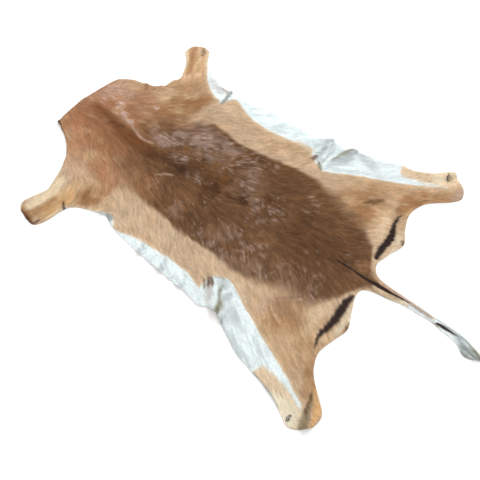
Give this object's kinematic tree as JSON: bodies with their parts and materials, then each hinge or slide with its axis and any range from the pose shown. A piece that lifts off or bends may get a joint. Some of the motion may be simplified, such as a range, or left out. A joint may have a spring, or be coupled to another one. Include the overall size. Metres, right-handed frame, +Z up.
{
  "type": "antelope hide rug",
  "caption": "Tanned antelope hide in one piece, lying flat fur side up, with a dark saddle, white belly edges, leg ends and a tufted tail.",
  "frame": {"origin": "middle of the hide's outer box, at the floor it lies on", "axes": "+Z up, +Y along the spine towards the neck, +X towards the right side of the animal"},
  "size_m": [0.886, 1.3896, 0.0187],
  "materials": {
    "fur_hide": "short glossy fur on tanned skin, brown saddle, tan flanks, white belly edges"
  },
  "bodies": {
    "root": {"hide": "fur_hide"}
  },
  "joints": []
}
